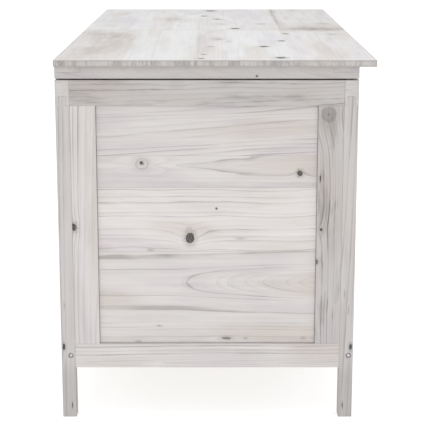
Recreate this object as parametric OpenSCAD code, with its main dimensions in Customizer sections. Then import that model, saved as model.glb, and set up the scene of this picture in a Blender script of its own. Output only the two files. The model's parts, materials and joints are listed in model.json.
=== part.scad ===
// Storage bench: a framed and panelled chest on four square legs, with a hinged seat as its lid.
// Millimetres, +Z up, +X along the bench, -Y is the front.
// The origin is on the floor, under the middle of the whole object.

/* [Overall] */
// Length of the lid
lid_l = 990; // [800:10:1200]
// Depth of the lid, front to back
lid_d = 495; // [420:5:560]
// Height of the seat above the floor
seat_h = 585; // [480:5:650]

/* [Lid] */
// Thickness of the seat boards
board_t = 10; // [9:1:18]
// How far the seat boards stand past the chest at each end
end_overhang = 14; // [4:1:40]
// How far the seat boards stand past the chest at the front
front_overhang = 25; // [5:1:50]
// Width of the rails under the seat boards
lid_rail_w = 40; // [36:1:60]
// Thickness of the rails under the seat boards
lid_rail_t = 20; // [18:1:28]
// Width of the batten under the joint of the two seat boards
batten_w = 60; // [50:2:90]
// Open joint between the two seat boards
board_joint = 0.6; // [0.2:0.1:1.5]
// Gap between the closed lid and the chest
lid_gap = 2.4; // [2.2:0.1:5]

/* [Chest] */
// Thickness of the frame stock, and side of the square legs
stock_t = 22; // [20:1:30]
// Width of the rails and stiles
stock_w = 40; // [36:1:60]
// Free height under the bottom rails
foot_h = 85; // [50:5:120]
// Thickness of the panels
panel_t = 10; // [8:1:12]
// Depth of a panel's face behind its frame
recess = 5; // [3:0.5:6]
// Width of the tenon on top of a leg
tenon_w = 11; // [8:1:14]
// Height of the tenon on top of a leg
tenon_h = 15; // [10:1:17]

/* [Floor of the chest] */
// Thickness of a floor board
floor_t = 10; // [8:1:14]
// Height of the cleats that carry the floor
cleat_h = 15; // [14:1:20]
// Width of the cleats along the ends
cleat_w = 20; // [15:1:30]
// Width of the bearer under the middle of the floor
bearer_w = 30; // [20:1:50]

/* [Hardware] */
// Distance of each hinge's middle from the chest's end
hinge_in = 181; // [100:1:220]
// Length of a hinge
hinge_l = 60; // [50:5:80]
// Distance of each outer bumper from the chest's end
bumper_in = 81; // [40:1:150]
// How far the bolts through the legs lie in front of the leg's middle
bolt_shift = 4; // [0:0.5:5]

/* [Hidden] */
$fn = 48;
eps = 0.5; // how far a cutter runs past the face it opens

// Chest and lid, worked out from the driving sizes
chest_l = lid_l - 2 * end_overhang;
chest_d = lid_d - front_overhang;
chest_h = seat_h - board_t - lid_rail_t - lid_gap;
inner_l = chest_l - 2 * stock_t;
inner_d = chest_d - 2 * stock_t;
shoulder_z = chest_h - stock_w;
bottom_rail_top = foot_h + stock_w;
opening_h = shoulder_z - bottom_rail_top;
middle_z = (shoulder_z + bottom_rail_top) / 2;

// Hinge: the pin lies behind the chest's back, halfway up the gap
hinge_x = chest_l / 2 - hinge_in;
barrel_r = 2.9;
barrel_out = 3;
pin_r = 1.5;
pin_fit = 0.05;
leaf_space = 0.4;
leaf_t = (lid_gap - leaf_space) / 2;
leaf_d = 19;
leaf_edge = barrel_out + 0.4;
knuckles = 5;
knuckle_gap = 0.3;
pin_z = chest_h + lid_gap / 2;

// Places front to back: the lid's front and the hinge barrels are the outermost things
total_d = lid_d + barrel_out + barrel_r;
lid_front = -total_d / 2;
front = lid_front + front_overhang;
back = front + chest_d;
middle_y = (front + back) / 2;
pin_y = back + barrel_out;
under_lid = chest_h + lid_gap;
under_board = under_lid + lid_rail_t;

// Panel tongues and the grooves that hold them
groove_v = 8;
groove_t = 6;
groove_depth = 8;
tongue = groove_depth - 1;
panel_play = 0.4;
panel_w_end = inner_d - 2 * stock_w;
panel_w_long = (inner_l - 3 * stock_w) / 2;
panel_x_long = (panel_w_long + stock_w) / 2;

// Fasteners
hole_fit = 0.05;
screw_r = 1.6;
screw_head_r = 3;
screw_head_h = screw_head_r - screw_r;
recess_w = 0.8;
recess_l = 3.4;
recess_depth = 1;
hinge_screw_l = 16;
lid_screw_l = 26;
floor_screw_l = 20;
cleat_screw_l = 32;
bolt_r = 2.5;
bolt_head_r = 3.8;
bolt_head_h = 2.2;
bolt_socket_r = 1.8;
bolt_sink = 2.4;
bolt_sink_r = 4.6;
bolt_l = 60;
bolt_z = foot_h + stock_w / 2;
dowel_r = 4;
dowel_l = 24;
dowel_play = 0.5;
rail_dowel_low = foot_h + 10;
rail_dowel_high = chest_h - 14;
stile_dowel_step = 20;
bearer_dowel_r = 3;
bumper_x = chest_l / 2 - bumper_in;
bumper_r = 5;
bumper_h = lid_gap - 0.3;

// Floor boards, counted from the front
floor_boards = 4;
floor_play = 1;
floor_z = foot_h + cleat_h;
floor_board_w = (inner_d - (floor_boards + 1) * floor_play) / floor_boards;
floor_board_l = inner_l - 2 * floor_play;

// Lid frame
lap = lid_rail_t / 2;
lid_rail_inner_d = chest_d - 2 * lid_rail_w;
batten_tenon_l = 10;
batten_tenon_t = 8;
batten_tenon_w = batten_w - 20;

// Screws up through the lid rails and the batten, as [x, y]
lid_screw_x = [chest_l / 2 - lid_rail_w / 2, 150];
lid_screws_at = concat(
    [for (sx = [-1, 1], sy = [-1, 1], x = lid_screw_x)
        [sx * x, middle_y + sy * (chest_d - lid_rail_w) / 2]],
    [for (sx = [-1, 1]) [sx * lid_screw_x[0], middle_y]],
    [for (sx = [-1, 1], sy = [-1, 1]) [sx * batten_w / 4, middle_y + sy * lid_rail_inner_d / 4]]
);

// Screws down through the floor boards, as [x, y]
function floor_board_y(i) =
    middle_y - inner_d / 2 + floor_play + floor_board_w / 2 + (i - 1) * (floor_board_w + floor_play);
cleat_x = (inner_l - cleat_w) / 2;
floor_screws_at = [for (x = [-cleat_x, 0, cleat_x], i = [1:floor_boards]) [x, floor_board_y(i)]];

// Screws through an end cleat into its rail, as places along the cleat
cleat_screw_z = foot_h + cleat_h / 2;
cleat_screws_at = [for (s = [-1, 0, 1]) s * inner_d / 3];

// Heights of the dowels between an end frame and the legs and long top rails
end_dowel_z = [rail_dowel_low, middle_z - stile_dowel_step, rail_dowel_high];
long_dowel_z = middle_z + stile_dowel_step;

wood = [0.80, 0.77, 0.74];
wood_light = [0.84, 0.81, 0.78];
wood_inside = [0.78, 0.74, 0.69];
steel = [0.72, 0.72, 0.73];
rubber = [0.25, 0.25, 0.26];

// ---------- helpers ----------

// A box from its lowest corner to its highest
module block(low, high) {
    translate(low) cube(high - low);
}

// A rod along an axis, starting at a point
module rod_x(at, r, l) {
    translate(at) rotate([0, 90, 0]) cylinder(h = l, r = r);
}

module rod_y(at, r, l) {
    translate(at) rotate([-90, 0, 0]) cylinder(h = l, r = r);
}

// One side of the chest lies along X with its outer face at y = 0 and its inside towards +y
module on_front() {
    translate([0, front, 0]) children();
}

module on_back() {
    translate([0, back, 0]) mirror([0, 1, 0]) children();
}

module on_left() {
    translate([-chest_l / 2, middle_y, 0]) rotate([0, 0, -90]) children();
}

module on_right() {
    translate([chest_l / 2, middle_y, 0]) rotate([0, 0, 90]) children();
}

// A corner of the chest: its outer edge at x = y = 0, its inside towards +x and +y
module at_corner(sx, sy) {
    translate([sx * chest_l / 2, middle_y + sy * chest_d / 2, 0])
        mirror([sx > 0 ? 1 : 0, 0, 0])
            mirror([0, sy > 0 ? 1 : 0, 0])
                children();
}

// Countersunk wood screw: head face at z = 0, point downwards
module screw(l) {
    difference() {
        union() {
            translate([0, 0, -screw_head_h]) cylinder(h = screw_head_h, r1 = screw_r, r2 = screw_head_r);
            translate([0, 0, -l + 2 * screw_r]) cylinder(h = l - 2 * screw_r, r = screw_r);
            translate([0, 0, -l]) cylinder(h = 2 * screw_r, r1 = 0.3, r2 = screw_r);
        }
        block([-recess_l / 2, -recess_w / 2, -recess_depth], [recess_l / 2, recess_w / 2, eps]);
        block([-recess_w / 2, -recess_l / 2, -recess_depth], [recess_w / 2, recess_l / 2, eps]);
    }
}

// The hole that such a screw leaves, countersunk at z = 0
module screw_hole(l) {
    translate([0, 0, -screw_head_h - hole_fit])
        cylinder(h = screw_head_h, r1 = screw_r, r2 = screw_head_r);
    translate([0, 0, -hole_fit]) cylinder(h = hole_fit + eps, r = screw_head_r + hole_fit);
    translate([0, 0, -l]) cylinder(h = l, r = screw_r + hole_fit);
}

// ---------- legs ----------

// How far a leg's bolt lies in from the outer face of the front or the back
function bolt_in(sy) = stock_t / 2 + sy * bolt_shift;

// Square leg with a tenon that the long top rail drops over
module leg(sx, sy) {
    color(wood) at_corner(sx, sy) difference() {
        union() {
            block([0, 0, 0], [stock_t, stock_t, shoulder_z]);
            block([0, (stock_t - tenon_w) / 2, shoulder_z - eps],
                  [stock_t, (stock_t + tenon_w) / 2, shoulder_z + tenon_h]);
        }
        rod_x([-eps, bolt_in(sy), bolt_z], bolt_r + hole_fit, stock_t + 2 * eps);
        rod_x([-eps, bolt_in(sy), bolt_z], bolt_sink_r, bolt_sink + eps);
        for (z = [end_dowel_z[0], end_dowel_z[1]])
            rod_y([stock_t / 2, stock_t - dowel_l / 2 - dowel_play, z],
                  dowel_r + hole_fit, dowel_l / 2 + dowel_play + eps);
        rod_x([stock_t - dowel_l / 2 - dowel_play, stock_t / 2, long_dowel_z],
              dowel_r + hole_fit, dowel_l / 2 + dowel_play + eps);
    }
}

// ---------- frames and panels, drawn on one side of the chest ----------

// Groove for the panel tongues along a rail's edge
module rail_groove(l, z) {
    block([-l / 2, groove_v, z], [l / 2, groove_v + groove_t, z + groove_depth]);
}

// Bores for the dowels that leave a rail or stile at x = +-l/2
module end_bores(l, r, z) {
    for (s = [-1, 1])
        mirror([s < 0 ? 1 : 0, 0, 0])
            rod_x([l / 2 - dowel_l / 2 - dowel_play, stock_t / 2, z],
                  r + hole_fit, dowel_l / 2 + dowel_play + eps);
}

// Top rail at the front or back, running over the legs
module long_top_rail() {
    color(wood) difference() {
        block([-chest_l / 2, 0, shoulder_z], [chest_l / 2, stock_t, chest_h]);
        rail_groove(inner_l, shoulder_z);
        for (s = [0, 1])
            mirror([s, 0, 0])
                block([inner_l / 2, (stock_t - tenon_w) / 2, shoulder_z - eps],
                      [chest_l / 2 + eps, (stock_t + tenon_w) / 2, shoulder_z + tenon_h]);
        for (s = [-1, 1])
            rod_y([s * (chest_l - stock_t) / 2, stock_t - dowel_l / 2 - dowel_play, end_dowel_z[2]],
                  dowel_r + hole_fit, dowel_l / 2 + dowel_play + eps);
    }
}

module long_bottom_rail(sy) {
    color(wood) difference() {
        block([-inner_l / 2, 0, foot_h], [inner_l / 2, stock_t, bottom_rail_top]);
        rail_groove(inner_l, bottom_rail_top - groove_depth);
        for (s = [-1, 1])
            mirror([s < 0 ? 1 : 0, 0, 0])
                rod_x([inner_l / 2 - bolt_l + stock_t, bolt_in(sy), bolt_z],
                      bolt_r + hole_fit, bolt_l);
        for (s = [-1, 1])
            rod_y([s * bearer_w / 4, stock_t - dowel_l / 2 - dowel_play, cleat_screw_z],
                  bearer_dowel_r + hole_fit, dowel_l);
    }
}

module end_top_rail() {
    color(wood) difference() {
        block([-inner_d / 2, 0, shoulder_z], [inner_d / 2, stock_t, chest_h]);
        rail_groove(inner_d, shoulder_z);
        end_bores(inner_d, dowel_r, end_dowel_z[2]);
    }
}

module end_bottom_rail() {
    color(wood) difference() {
        block([-inner_d / 2, 0, foot_h], [inner_d / 2, stock_t, bottom_rail_top]);
        rail_groove(inner_d, bottom_rail_top - groove_depth);
        end_bores(inner_d, dowel_r, end_dowel_z[0]);
        for (x = cleat_screws_at)
            rod_y([x, stock_t + cleat_w - cleat_screw_l, cleat_screw_z],
                  screw_r + hole_fit, cleat_screw_l);
    }
}

// A stile centred on x, with stub tenons in the rails' grooves; sides lists its grooved edges
module stile(x, sides) {
    translate([x, 0, 0]) difference() {
        union() {
            block([-stock_w / 2, 0, bottom_rail_top], [stock_w / 2, stock_t, shoulder_z]);
            block([-stock_w / 2, groove_v, bottom_rail_top - groove_depth],
                  [stock_w / 2, groove_v + groove_t, shoulder_z + groove_depth]);
        }
        for (s = sides)
            translate([s * (stock_w - groove_depth) / 2, groove_v + groove_t / 2, middle_z])
                cube([groove_depth, groove_t, opening_h + 4 * groove_depth], center = true);
        children();
    }
}

// A stile beside a leg, on side s of a frame whose stiles span l, with its dowel bore at z
module side_stile(s, l, z) {
    stile(s * (l - stock_w) / 2, [-s])
        mirror([s < 0 ? 1 : 0, 0, 0])
            rod_x([stock_w / 2 - dowel_l / 2 - dowel_play, stock_t / 2, z],
                  dowel_r + hole_fit, dowel_l);
}

// A panel for an opening of width w: a flat field with a tongue all round
module panel(x, w) {
    play = panel_play;
    color(wood_light) {
        block([x - w / 2 + play, recess, bottom_rail_top + play],
              [x + w / 2 - play, recess + panel_t, shoulder_z - play]);
        block([x - w / 2 - tongue, groove_v, bottom_rail_top - tongue],
              [x + w / 2 + tongue, groove_v + groove_t, shoulder_z + tongue]);
    }
}

module long_stile(s) {
    color(wood) side_stile(s, inner_l, long_dowel_z);
}

module end_stile(s) {
    color(wood) side_stile(s, inner_d, end_dowel_z[1]);
}

module middle_stile() {
    color(wood) stile(0, [-1, 1]);
}

// ---------- floor ----------

module floor_cleat() {
    color(wood_inside) difference() {
        block([-inner_d / 2, stock_t, foot_h], [inner_d / 2, stock_t + cleat_w, floor_z]);
        for (x = cleat_screws_at)
            translate([x, stock_t + cleat_w, cleat_screw_z]) rotate([-90, 0, 0])
                screw_hole(cleat_screw_l);
        for (i = [1:floor_boards])
            translate([floor_board_y(i) - middle_y, stock_t + cleat_w / 2, floor_z + floor_t])
                screw_hole(floor_screw_l);
    }
}

module floor_bearer() {
    color(wood_inside) difference() {
        block([-bearer_w / 2, middle_y - inner_d / 2, foot_h],
              [bearer_w / 2, middle_y + inner_d / 2, floor_z]);
        for (i = [1:floor_boards])
            translate([0, floor_board_y(i), floor_z + floor_t]) screw_hole(floor_screw_l);
        for (sx = [-1, 1], sy = [0, 1])
            translate([sx * bearer_w / 4, middle_y, cleat_screw_z]) mirror([0, sy, 0])
                rod_y([0, inner_d / 2 - dowel_l / 2 - dowel_play, 0],
                      bearer_dowel_r + hole_fit, dowel_l);
    }
}

module floor_board(i) {
    y = floor_board_y(i);
    color(wood_inside) difference() {
        block([-floor_board_l / 2, y - floor_board_w / 2, floor_z],
              [floor_board_l / 2, y + floor_board_w / 2, floor_z + floor_t]);
        for (x = [-cleat_x, 0, cleat_x])
            translate([x, y, floor_z + floor_t]) screw_hole(floor_screw_l);
    }
}

// ---------- lid ----------

// One seat board, on side s of the middle
module lid_board(s) {
    color(wood_light) difference() {
        mirror([s < 0 ? 1 : 0, 0, 0])
            block([board_joint / 2, lid_front, under_board], [lid_l / 2, back, seat_h]);
        for (p = lid_screws_at)
            if (p[0] * s > 0)
                translate([p[0], p[1], under_lid]) mirror([0, 0, 1]) screw_hole(lid_screw_l);
    }
}

// The screw holes of the lid that fall inside a rail
module lid_screw_holes(low, high) {
    for (p = lid_screws_at)
        if (p[0] > low[0] && p[0] < high[0] && p[1] > low[1] && p[1] < high[1])
            translate([p[0], p[1], under_lid]) mirror([0, 0, 1]) screw_hole(lid_screw_l);
}

// Front or back rail: its ends are lapped over the end rails
module lid_long_rail(sy) {
    low = [-chest_l / 2, middle_y + (sy < 0 ? -chest_d / 2 : chest_d / 2 - lid_rail_w), under_lid];
    high = low + [chest_l, lid_rail_w, lid_rail_t];
    color(wood) difference() {
        block(low, high);
        for (sx = [0, 1])
            mirror([sx, 0, 0])
                block([chest_l / 2 - lid_rail_w, low[1] - eps, under_lid - eps],
                      [chest_l / 2 + eps, high[1] + eps, under_lid + lap]);
        translate([0, middle_y + sy * lid_rail_inner_d / 2, under_lid + lid_rail_t / 2])
            cube([batten_tenon_w, 2 * batten_tenon_l, batten_tenon_t], center = true);
        lid_screw_holes(low, high);
        if (sy > 0)
            for (s = [-1, 1]) at_hinge(s) leaf_screw_holes(1);
    }
}

// End rail: its ends are lapped under the long rails
module lid_end_rail(sx) {
    low = [sx < 0 ? -chest_l / 2 : chest_l / 2 - lid_rail_w, middle_y - chest_d / 2, under_lid];
    high = low + [lid_rail_w, chest_d, lid_rail_t];
    color(wood) difference() {
        block(low, high);
        for (sy = [0, 1])
            translate([0, middle_y, 0]) mirror([0, sy, 0])
                block([low[0] - eps, lid_rail_inner_d / 2, under_lid + lap],
                      [high[0] + eps, chest_d / 2 + eps, high[2] + eps]);
        lid_screw_holes(low, high);
    }
}

module lid_batten() {
    low = [-batten_w / 2, middle_y - lid_rail_inner_d / 2, under_lid];
    high = [batten_w / 2, middle_y + lid_rail_inner_d / 2, under_board];
    color(wood) difference() {
        union() {
            block(low, high);
            translate([0, middle_y, under_lid + lid_rail_t / 2])
                cube([batten_tenon_w, 2 * batten_tenon_l + lid_rail_inner_d, batten_tenon_t],
                     center = true);
        }
        lid_screw_holes(low, high);
    }
}

// ---------- hinges ----------

// The pin's middle is the origin, with the pin along X and the inside of the bench towards -y
module at_hinge(s) {
    translate([s * hinge_x, pin_y, pin_z]) children();
}

leaf_screws_at = [for (k = [-1, 0, 1]) k * hinge_l / 3];
leaf_screw_y = -leaf_edge - leaf_d / 2;

// Height of a leaf's underside above the pin: up = 1 for the lid's leaf, -1 for the chest's
function leaf_low(up) = up > 0 ? leaf_space / 2 : -leaf_space / 2 - leaf_t;

// Screw holes of one leaf
module leaf_screw_holes(up) {
    for (x = leaf_screws_at)
        translate([x, leaf_screw_y, up * leaf_space / 2]) mirror([0, 0, up > 0 ? 1 : 0])
            screw_hole(hinge_screw_l);
}

// Knuckle k of the barrel, counted from the left
module knuckle(k, up) {
    l = hinge_l / knuckles;
    x = -hinge_l / 2 + k * l + knuckle_gap / 2;
    rod_x([x, 0, 0], barrel_r, l - knuckle_gap);
    translate([x, -leaf_edge - eps, leaf_low(up)])
        cube([l - knuckle_gap, leaf_edge + eps, leaf_t]);
}

// Leaf with countersunk holes and every second knuckle
module hinge_leaf(s, up) {
    color(steel) at_hinge(s) difference() {
        union() {
            translate([-hinge_l / 2, -leaf_edge - leaf_d, leaf_low(up)])
                cube([hinge_l, leaf_d, leaf_t]);
            for (k = [(up > 0 ? 1 : 0):2:knuckles - 1]) knuckle(k, up);
        }
        rod_x([-hinge_l / 2 - eps, 0, 0], pin_r + pin_fit, hinge_l + 2 * eps);
        leaf_screw_holes(up);
    }
}

module hinge_pin(s) {
    color(steel) at_hinge(s) rod_x([-hinge_l / 2 - 1, 0, 0], pin_r, hinge_l + 2);
}

module hinge_screws(up) {
    color(steel)
        for (s = [-1, 1], x = leaf_screws_at)
            at_hinge(s) translate([x, leaf_screw_y, up * leaf_space / 2])
                mirror([0, 0, up > 0 ? 1 : 0]) translate([0, 0, -hole_fit]) screw(hinge_screw_l - 1);
}

// ---------- other fasteners ----------

module lid_screws() {
    color(steel)
        for (p = lid_screws_at)
            translate([p[0], p[1], under_lid]) mirror([0, 0, 1])
                translate([0, 0, -hole_fit]) screw(lid_screw_l - 1);
}

module floor_screws() {
    color(steel)
        for (p = floor_screws_at)
            translate([p[0], p[1], floor_z + floor_t - hole_fit]) screw(floor_screw_l - 1);
}

module cleat_screws_of_end() {
    for (x = cleat_screws_at)
        translate([x, stock_t + cleat_w - hole_fit, cleat_screw_z]) rotate([-90, 0, 0])
            screw(cleat_screw_l - 1);
}

module cleat_screws() {
    color(steel) {
        on_left() cleat_screws_of_end();
        on_right() cleat_screws_of_end();
    }
}

// Bolt along X with a domed head in the leg's counterbore and a hexagonal socket
module leg_bolt() {
    dome_r = (bolt_head_r * bolt_head_r + bolt_head_h * bolt_head_h) / (2 * bolt_head_h);
    translate([bolt_sink, 0, 0]) difference() {
        union() {
            rod_x([0, 0, 0], bolt_r, bolt_l - bolt_sink - 1);
            intersection() {
                translate([dome_r - bolt_head_h, 0, 0]) sphere(r = dome_r);
                rod_x([-bolt_head_h, 0, 0], bolt_head_r + 1, bolt_head_h);
            }
        }
        translate([-bolt_head_h - eps, 0, 0]) rotate([0, 90, 0])
            cylinder(h = bolt_head_h + eps, r = bolt_socket_r, $fn = 6);
    }
}

module leg_bolts() {
    color(steel)
        for (sx = [-1, 1], sy = [-1, 1])
            at_corner(sx, sy) translate([0, bolt_in(sy), bolt_z]) leg_bolt();
}

// Dowels along Y join the end frames to the legs and long top rails, dowels along X join the
// outer stiles of the front and back to the legs, and thin ones hold the floor bearer
module frame_dowels() {
    color(wood_inside) {
        for (sx = [-1, 1], sy = [-1, 1])
            at_corner(sx, sy) {
                for (z = end_dowel_z)
                    rod_y([stock_t / 2, stock_t - dowel_l / 2, z], dowel_r, dowel_l);
                rod_x([stock_t - dowel_l / 2, stock_t / 2, long_dowel_z], dowel_r, dowel_l);
            }
        for (sx = [-1, 1], sy = [-1, 1])
            translate([sx * bearer_w / 4, middle_y + sy * inner_d / 2, cleat_screw_z])
                rotate([90, 0, 0]) cylinder(h = dowel_l, r = bearer_dowel_r, center = true);
    }
}

// Round pads on the front rail that keep the gap under the closed lid
module lid_bumpers() {
    color(rubber)
        for (x = [-bumper_x, 0, bumper_x])
            translate([x, front + stock_t / 2, chest_h]) cylinder(h = bumper_h, r = bumper_r);
}

// The back top rail also has the holes for the screws of the chest's leaves
module back_top_rail() {
    color(wood) difference() {
        on_back() long_top_rail();
        for (s = [-1, 1]) at_hinge(s) leaf_screw_holes(-1);
    }
}

leg(-1, -1);  // leg_front_left
leg(1, -1);  // leg_front_right
leg(-1, 1);  // leg_back_left
leg(1, 1);  // leg_back_right

on_front() long_top_rail();  // top_rail_front
back_top_rail();  // top_rail_back
on_left() end_top_rail();  // top_rail_left
on_right() end_top_rail();  // top_rail_right
on_front() long_bottom_rail(-1);  // bottom_rail_front
on_back() long_bottom_rail(1);  // bottom_rail_back
on_left() end_bottom_rail();  // bottom_rail_left
on_right() end_bottom_rail();  // bottom_rail_right

on_front() long_stile(-1);  // stile_front_left
on_front() middle_stile();  // stile_front_middle
on_front() long_stile(1);  // stile_front_right
on_back() long_stile(-1);  // stile_back_left
on_back() middle_stile();  // stile_back_middle
on_back() long_stile(1);  // stile_back_right
on_left() end_stile(1);  // stile_left_front
on_left() end_stile(-1);  // stile_left_back
on_right() end_stile(-1);  // stile_right_front
on_right() end_stile(1);  // stile_right_back

on_front() panel(-panel_x_long, panel_w_long);  // panel_front_left
on_front() panel(panel_x_long, panel_w_long);  // panel_front_right
on_back() panel(-panel_x_long, panel_w_long);  // panel_back_left
on_back() panel(panel_x_long, panel_w_long);  // panel_back_right
on_left() panel(0, panel_w_end);  // panel_left
on_right() panel(0, panel_w_end);  // panel_right

on_left() floor_cleat();  // floor_cleat_left
on_right() floor_cleat();  // floor_cleat_right
floor_bearer();
floor_board(1);  // floor_board_1
floor_board(2);  // floor_board_2
floor_board(3);  // floor_board_3
floor_board(4);  // floor_board_4

lid_board(-1);  // lid_board_left
lid_board(1);  // lid_board_right
lid_long_rail(-1);  // lid_rail_front
lid_long_rail(1);  // lid_rail_back
lid_end_rail(-1);  // lid_rail_left
lid_end_rail(1);  // lid_rail_right
lid_batten();

hinge_leaf(-1, -1);  // hinge_chest_leaf_left
hinge_leaf(1, -1);  // hinge_chest_leaf_right
hinge_leaf(-1, 1);  // hinge_lid_leaf_left
hinge_leaf(1, 1);  // hinge_lid_leaf_right
hinge_pin(-1);  // hinge_pin_left
hinge_pin(1);  // hinge_pin_right
hinge_screws(-1);  // hinge_chest_screws
hinge_screws(1);  // hinge_lid_screws
lid_screws();
floor_screws();
cleat_screws();
leg_bolts();
frame_dowels();
lid_bumpers();
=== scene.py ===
"""Looks of the storage bench: white-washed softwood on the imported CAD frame, zinc hardware, a pale studio.

Wood is drawn in millimetres in each board's own directions: u along the grain, v across the face and
w through the thickness, all from the board's middle.
"""

import json
import math
import random

import bmesh
import bpy
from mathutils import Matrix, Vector

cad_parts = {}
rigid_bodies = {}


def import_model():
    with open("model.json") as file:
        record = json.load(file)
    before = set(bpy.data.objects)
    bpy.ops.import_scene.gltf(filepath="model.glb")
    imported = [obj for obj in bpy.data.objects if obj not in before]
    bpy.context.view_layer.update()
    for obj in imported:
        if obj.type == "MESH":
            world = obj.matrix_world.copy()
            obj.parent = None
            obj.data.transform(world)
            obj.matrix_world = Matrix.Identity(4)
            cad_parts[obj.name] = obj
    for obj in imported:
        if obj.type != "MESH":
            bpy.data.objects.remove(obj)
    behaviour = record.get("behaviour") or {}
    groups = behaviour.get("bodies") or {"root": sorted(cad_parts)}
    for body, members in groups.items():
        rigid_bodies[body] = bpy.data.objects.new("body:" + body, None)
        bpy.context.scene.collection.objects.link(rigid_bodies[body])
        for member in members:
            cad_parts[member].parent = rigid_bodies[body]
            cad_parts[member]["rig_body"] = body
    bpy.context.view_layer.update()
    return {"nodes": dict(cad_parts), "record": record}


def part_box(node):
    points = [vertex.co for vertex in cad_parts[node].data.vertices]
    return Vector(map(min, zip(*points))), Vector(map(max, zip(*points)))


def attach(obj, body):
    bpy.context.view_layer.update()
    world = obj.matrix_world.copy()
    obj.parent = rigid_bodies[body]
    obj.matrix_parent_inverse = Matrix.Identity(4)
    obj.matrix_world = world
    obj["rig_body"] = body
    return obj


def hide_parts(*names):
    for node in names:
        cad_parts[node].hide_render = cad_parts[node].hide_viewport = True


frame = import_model()

MM = 0.001
X, Y, Z = 0, 1, 2


# ---------------------------------------------------------------- shader helpers

class Wire:
    """A shader value that is added, multiplied and divided like a number."""

    def __init__(self, graph, socket):
        self.graph = graph
        self.socket = socket

    def __add__(self, other):
        return self.graph.math("ADD", self, other)

    def __sub__(self, other):
        return self.graph.math("SUBTRACT", self, other)

    def __rsub__(self, other):
        return self.graph.math("SUBTRACT", other, self)

    def __mul__(self, other):
        return self.graph.math("MULTIPLY", self, other)

    def __truediv__(self, other):
        return self.graph.math("DIVIDE", self, other)

    def __rtruediv__(self, other):
        return self.graph.math("DIVIDE", other, self)

    __radd__ = __add__
    __rmul__ = __mul__


class Graph:
    """Adds and links the nodes of one material or node group."""

    def __init__(self, tree):
        self.tree = tree

    def add(self, kind, inputs, **settings):
        node = self.tree.nodes.new(kind)
        for name, value in settings.items():
            setattr(node, name, value)
        for key, value in inputs.items():
            self.put(node.inputs[key], value)
        return node

    def put(self, target, value):
        if isinstance(value, Wire):
            self.tree.links.new(value.socket, target)
        elif isinstance(value, bpy.types.NodeSocket):
            self.tree.links.new(value, target)
        else:
            target.default_value = value

    def math(self, operation, a, b=0.0, c=0.0):
        node = self.add("ShaderNodeMath", {0: a, 1: b, 2: c}, operation=operation)
        return Wire(self, node.outputs[0])

    def most(self, a, b):
        return self.math("MAXIMUM", a, b)

    def least(self, a, b):
        return self.math("MINIMUM", a, b)

    def bell(self, distance_squared):
        """1 in the middle, falling to 0 farther out."""
        return self.math("EXPONENT", distance_squared * -1.0)

    def smooth(self, value, low, high, out_low=0.0, out_high=1.0):
        inputs = {"Value": value, "From Min": low, "From Max": high, "To Min": out_low, "To Max": out_high}
        node = self.add("ShaderNodeMapRange", inputs, interpolation_type="SMOOTHSTEP")
        return Wire(self, node.outputs["Result"])

    def fading(self, value, low, high):
        """1 below low and 0 above high."""
        return self.smooth(value, low, high, 1.0, 0.0)

    def split(self, vector):
        node = self.add("ShaderNodeSeparateXYZ", {0: vector})
        return [Wire(self, out) for out in node.outputs]

    def join(self, x, y, z):
        return Wire(self, self.add("ShaderNodeCombineXYZ", {0: x, 1: y, 2: z}).outputs[0])

    def noise(self, x, y, z, detail=2.0, roughness=0.5):
        inputs = {"Vector": self.join(x, y, z), "Scale": 1.0, "Detail": detail, "Roughness": roughness}
        return Wire(self, self.add("ShaderNodeTexNoise", inputs, noise_dimensions="3D").outputs["Fac"])

    def streaks(self, place, steps, shift, **settings):
        """Noise drawn out along the grain: steps a millimetre along and across it, shift on u, v and w."""
        along, across = steps
        scaled = [place[0] * along, place[1] * across, place[2] * across]
        moved = [value if by is None else value + by for value, by in zip(scaled, shift)]
        return self.noise(*moved, **settings)

    def even_noise(self, place, steps, **settings):
        """Noise of the same size in all three directions."""
        return self.noise(*[value * steps for value in place], **settings)

    def mix(self, factor, a, b):
        node = self.add("ShaderNodeMix", {0: factor}, data_type="RGBA", clamp_factor=True)
        self.put(node.inputs[6], a)
        self.put(node.inputs[7], b)
        return Wire(self, node.outputs[2])

    def multiplied(self, colour, by, full=0.74):
        """One pale colour times another, which is taken as a share of full."""
        node = self.add("ShaderNodeVectorMath", {0: by}, operation="MULTIPLY")
        node.inputs[1].default_value = [c / full for c in colour[:3]]
        return Wire(self, node.outputs[0])

    def scaled(self, vector, factor):
        node = self.add("ShaderNodeVectorMath", {0: vector, "Scale": factor}, operation="SCALE")
        return Wire(self, node.outputs[0])


def new_group(name, inputs, outputs):
    """A node group with its inputs, as {name: wire}, and a function that closes it with its outputs."""
    tree = bpy.data.node_groups.new(name, "ShaderNodeTree")
    for label, kind in inputs:
        tree.interface.new_socket(label, in_out="INPUT", socket_type=kind)
    for label, kind in outputs:
        tree.interface.new_socket(label, in_out="OUTPUT", socket_type=kind)
    graph = Graph(tree)
    source = tree.nodes.new("NodeGroupInput")
    wires = {label: Wire(graph, source.outputs[label]) for label, kind in inputs}

    def close(results):
        graph.add("NodeGroupOutput", results)

    return graph, wires, close


def new_material(name):
    """An empty node material, its graph, and the object's own coordinates and normal."""
    material = bpy.data.materials.new(name)
    material.use_nodes = True
    material.node_tree.nodes.clear()
    g = Graph(material.node_tree)
    spot = g.add("ShaderNodeTexCoord", {})
    return material, g, spot


def close_material(g, shader_inputs, height=None, strength=0.0, depth=0.0):
    """Ends a material with one Principled shader, bumped by height where there is one."""
    inputs = dict(shader_inputs)
    if height is not None:
        bump = g.add("ShaderNodeBump", {"Height": height, "Strength": strength, "Distance": depth})
        inputs["Normal"] = bump.outputs["Normal"]
    shader = g.add("ShaderNodeBsdfPrincipled", inputs)
    g.add("ShaderNodeOutputMaterial", {"Surface": shader.outputs["BSDF"]})


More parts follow.
